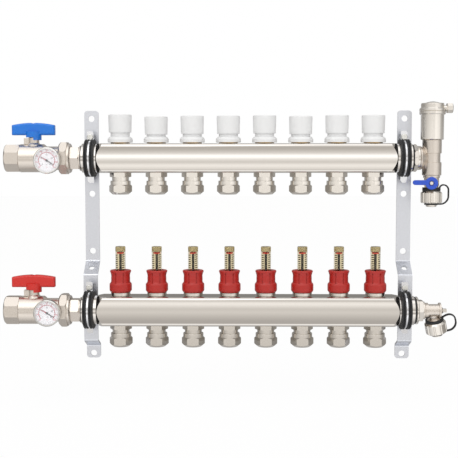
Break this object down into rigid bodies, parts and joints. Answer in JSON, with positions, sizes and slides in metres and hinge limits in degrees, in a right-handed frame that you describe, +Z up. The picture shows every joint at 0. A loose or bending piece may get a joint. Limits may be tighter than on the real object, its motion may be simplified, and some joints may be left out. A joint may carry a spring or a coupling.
{
  "type": "heating manifold",
  "caption": "Wall-mounted floor heating manifold: two bars on stepped brackets with flow meters, hand valves, ball valves, thermometers, air vent and drain valves.",
  "frame": {"origin": "centre of the four wall screw holes, on the wall plane", "axes": "+X along the bars to the right, +Y into the wall, +Z up; the front faces -Y"},
  "size_m": [0.6244, 0.0849, 0.3638],
  "materials": {
    "bar_steel": "satin",
    "bracket_zinc": "satin",
    "clamp_steel": "satin",
    "screw_steel": "satin",
    "black_rubber": "matt",
    "nickel_brass": "satin",
    "bare_brass": "satin",
    "white_plastic": "satin",
    "red_plastic": "satin",
    "red_handle": "gloss",
    "blue_handle": "gloss",
    "blue_lever": "gloss",
    "clear_plastic": "clear",
    "indicator_plastic": "matt",
    "case_chrome": "bright",
    "dial_window": "clear",
    "needle_paint": "matt"
  },
  "bodies": {
    "frame": {"return_bar": "bar_steel", "supply_bar": "bar_steel", "left_bracket": "bracket_zinc", "right_bracket": "bracket_zinc", "clamp_bands": "clamp_steel", "clamp_linings": "black_rubber", "clamp_screws": "screw_steel", "branch_nipples": "nickel_brass", "branch_nuts": "nickel_brass", "cap_bases": "white_plastic", "valve_inserts": "bare_brass", "meter_bodies": "nickel_brass", "sight_glasses": "clear_plastic", "ball_valve_bodies": "nickel_brass", "union_nuts": "nickel_brass", "union_tails": "nickel_brass", "thermometer_cases": "case_chrome", "thermometer_glasses": "dial_window", "end_bushings": "nickel_brass", "tee_body": "nickel_brass", "air_vent": "nickel_brass", "hose_valve_bodies": "nickel_brass", "drain_straps": "black_rubber", "end_seals": "black_rubber"},
    "knob_1": {"knob_1": "white_plastic"},
    "knob_2": {"knob_2": "white_plastic"},
    "knob_3": {"knob_3": "white_plastic"},
    "knob_4": {"knob_4": "white_plastic"},
    "knob_5": {"knob_5": "white_plastic"},
    "knob_6": {"knob_6": "white_plastic"},
    "knob_7": {"knob_7": "white_plastic"},
    "knob_8": {"knob_8": "white_plastic"},
    "collar_1": {"collar_1": "red_plastic"},
    "collar_2": {"collar_2": "red_plastic"},
    "collar_3": {"collar_3": "red_plastic"},
    "collar_4": {"collar_4": "red_plastic"},
    "collar_5": {"collar_5": "red_plastic"},
    "collar_6": {"collar_6": "red_plastic"},
    "collar_7": {"collar_7": "red_plastic"},
    "collar_8": {"collar_8": "red_plastic"},
    "indicator_1": {"indicator_1": "indicator_plastic"},
    "indicator_2": {"indicator_2": "indicator_plastic"},
    "indicator_3": {"indicator_3": "indicator_plastic"},
    "indicator_4": {"indicator_4": "indicator_plastic"},
    "indicator_5": {"indicator_5": "indicator_plastic"},
    "indicator_6": {"indicator_6": "indicator_plastic"},
    "indicator_7": {"indicator_7": "indicator_plastic"},
    "indicator_8": {"indicator_8": "indicator_plastic"},
    "return_valve": {"return_handle": "blue_handle", "return_ball": "nickel_brass"},
    "supply_valve": {"supply_handle": "red_handle", "supply_ball": "nickel_brass"},
    "drain_valve": {"drain_lever": "blue_lever", "drain_ball": "nickel_brass"},
    "fill_spindle": {"drain_spindle": "nickel_brass"},
    "upper_cap": {"upper_drain_cap": "nickel_brass"},
    "lower_cap": {"lower_drain_cap": "nickel_brass"},
    "vent_cap": {"vent_screw_cap": "nickel_brass"},
    "return_needle": {"return_needle": "needle_paint"},
    "supply_needle": {"supply_needle": "needle_paint"}
  },
  "joints": [
    {"name": "knob_1_turn", "type": "hinge", "parent": "frame", "child": "knob_1", "pos_m": [-0.17675, -0.0304, 0.145], "axis": [0, 0, 1], "range_deg": [-696, 384]},
    {"name": "knob_2_turn", "type": "hinge", "parent": "frame", "child": "knob_2", "pos_m": [-0.12675, -0.0304, 0.145], "axis": [0, 0, 1], "range_deg": [-24, 1056]},
    {"name": "knob_3_turn", "type": "hinge", "parent": "frame", "child": "knob_3", "pos_m": [-0.07675, -0.0304, 0.145], "axis": [0, 0, 1], "range_deg": [-216, 864]},
    {"name": "knob_4_turn", "type": "hinge", "parent": "frame", "child": "knob_4", "pos_m": [-0.02675, -0.0304, 0.145], "axis": [0, 0, 1], "range_deg": [-240, 840]},
    {"name": "knob_5_turn", "type": "hinge", "parent": "frame", "child": "knob_5", "pos_m": [0.02325, -0.0304, 0.145], "axis": [0, 0, 1], "range_deg": [-360, 720]},
    {"name": "knob_6_turn", "type": "hinge", "parent": "frame", "child": "knob_6", "pos_m": [0.07325, -0.0304, 0.145], "axis": [0, 0, 1], "range_deg": [-96, 984]},
    {"name": "knob_7_turn", "type": "hinge", "parent": "frame", "child": "knob_7", "pos_m": [0.12325, -0.0304, 0.145], "axis": [0, 0, 1], "range_deg": [-384, 696]},
    {"name": "knob_8_turn", "type": "hinge", "parent": "frame", "child": "knob_8", "pos_m": [0.17325, -0.0304, 0.145], "axis": [0, 0, 1], "range_deg": [-384, 696]},
    {"name": "collar_1_turn", "type": "hinge", "parent": "frame", "child": "collar_1", "pos_m": [-0.175, -0.0524, -0.067], "axis": [0, 0, 1], "range_deg": [-540, 540]},
    {"name": "collar_2_turn", "type": "hinge", "parent": "frame", "child": "collar_2", "pos_m": [-0.125, -0.0524, -0.067], "axis": [0, 0, 1], "range_deg": [-540, 540]},
    {"name": "collar_3_turn", "type": "hinge", "parent": "frame", "child": "collar_3", "pos_m": [-0.075, -0.0524, -0.067], "axis": [0, 0, 1], "range_deg": [-540, 540]},
    {"name": "collar_4_turn", "type": "hinge", "parent": "frame", "child": "collar_4", "pos_m": [-0.025, -0.0524, -0.067], "axis": [0, 0, 1], "range_deg": [-540, 540]},
    {"name": "collar_5_turn", "type": "hinge", "parent": "frame", "child": "collar_5", "pos_m": [0.025, -0.0524, -0.067], "axis": [0, 0, 1], "range_deg": [-540, 540]},
    {"name": "collar_6_turn", "type": "hinge", "parent": "frame", "child": "collar_6", "pos_m": [0.075, -0.0524, -0.067], "axis": [0, 0, 1], "range_deg": [-540, 540]},
    {"name": "collar_7_turn", "type": "hinge", "parent": "frame", "child": "collar_7", "pos_m": [0.125, -0.0524, -0.067], "axis": [0, 0, 1], "range_deg": [-540, 540]},
    {"name": "collar_8_turn", "type": "hinge", "parent": "frame", "child": "collar_8", "pos_m": [0.175, -0.0524, -0.067], "axis": [0, 0, 1], "range_deg": [-540, 540]},
    {"name": "indicator_1_slide", "type": "slide", "parent": "frame", "child": "indicator_1", "axis": [0, 0, -1], "range_m": [0, 0.02], "stiffness_N_per_m": 60},
    {"name": "indicator_2_slide", "type": "slide", "parent": "frame", "child": "indicator_2", "axis": [0, 0, -1], "range_m": [0, 0.02], "stiffness_N_per_m": 60},
    {"name": "indicator_3_slide", "type": "slide", "parent": "frame", "child": "indicator_3", "axis": [0, 0, -1], "range_m": [0, 0.02], "stiffness_N_per_m": 60},
    {"name": "indicator_4_slide", "type": "slide", "parent": "frame", "child": "indicator_4", "axis": [0, 0, -1], "range_m": [0, 0.02], "stiffness_N_per_m": 60},
    {"name": "indicator_5_slide", "type": "slide", "parent": "frame", "child": "indicator_5", "axis": [0, 0, -1], "range_m": [0, 0.02], "stiffness_N_per_m": 60},
    {"name": "indicator_6_slide", "type": "slide", "parent": "frame", "child": "indicator_6", "axis": [0, 0, -1], "range_m": [0, 0.02], "stiffness_N_per_m": 60},
    {"name": "indicator_7_slide", "type": "slide", "parent": "frame", "child": "indicator_7", "axis": [0, 0, -1], "range_m": [0, 0.02], "stiffness_N_per_m": 60},
    {"name": "indicator_8_slide", "type": "slide", "parent": "frame", "child": "indicator_8", "axis": [0, 0, -1], "range_m": [0, 0.02], "stiffness_N_per_m": 60},
    {"name": "return_valve_turn", "type": "hinge", "parent": "frame", "child": "return_valve", "pos_m": [-0.29685, -0.0304, 0.112], "axis": [0, 0, 1], "range_deg": [0, 90]},
    {"name": "supply_valve_turn", "type": "hinge", "parent": "frame", "child": "supply_valve", "pos_m": [-0.2951, -0.0524, -0.097], "axis": [0, 0, 1], "range_deg": [0, 90]},
    {"name": "drain_lever_turn", "type": "hinge", "parent": "frame", "child": "drain_valve", "pos_m": [0.25435, -0.0304, 0.0776], "axis": [-0.1736, -0.9848, 0], "range_deg": [0, 90]},
    {"name": "fill_spindle_turn", "type": "hinge", "parent": "frame", "child": "fill_spindle", "pos_m": [0.2675, -0.0524, -0.097], "axis": [1, 0, 0], "range_deg": [-90, 0]},
    {"name": "upper_cap_turn", "type": "hinge", "parent": "frame", "child": "upper_cap", "pos_m": [0.25435, -0.0304, 0.057], "axis": [0, 0, 1], "range_deg": [-1080, 0]},
    {"name": "lower_cap_turn", "type": "hinge", "parent": "frame", "child": "lower_cap", "pos_m": [0.2597, -0.04754, -0.11987], "axis": [0.225, 0.2026, -0.9531], "range_deg": [0, 1080]},
    {"name": "vent_cap_turn", "type": "hinge", "parent": "frame", "child": "vent_cap", "pos_m": [0.27735, -0.0304, 0.1804], "axis": [1, 0, 0], "range_deg": [0, 720]},
    {"name": "return_needle_turn", "type": "hinge", "parent": "frame", "child": "return_needle", "pos_m": [-0.27335, -0.0604, 0.109], "axis": [0, -1, 0], "range_deg": [-193, 77]},
    {"name": "supply_needle_turn", "type": "hinge", "parent": "frame", "child": "supply_needle", "pos_m": [-0.2716, -0.0824, -0.097], "axis": [0, -1, 0], "range_deg": [-193, 77]}
  ]
}
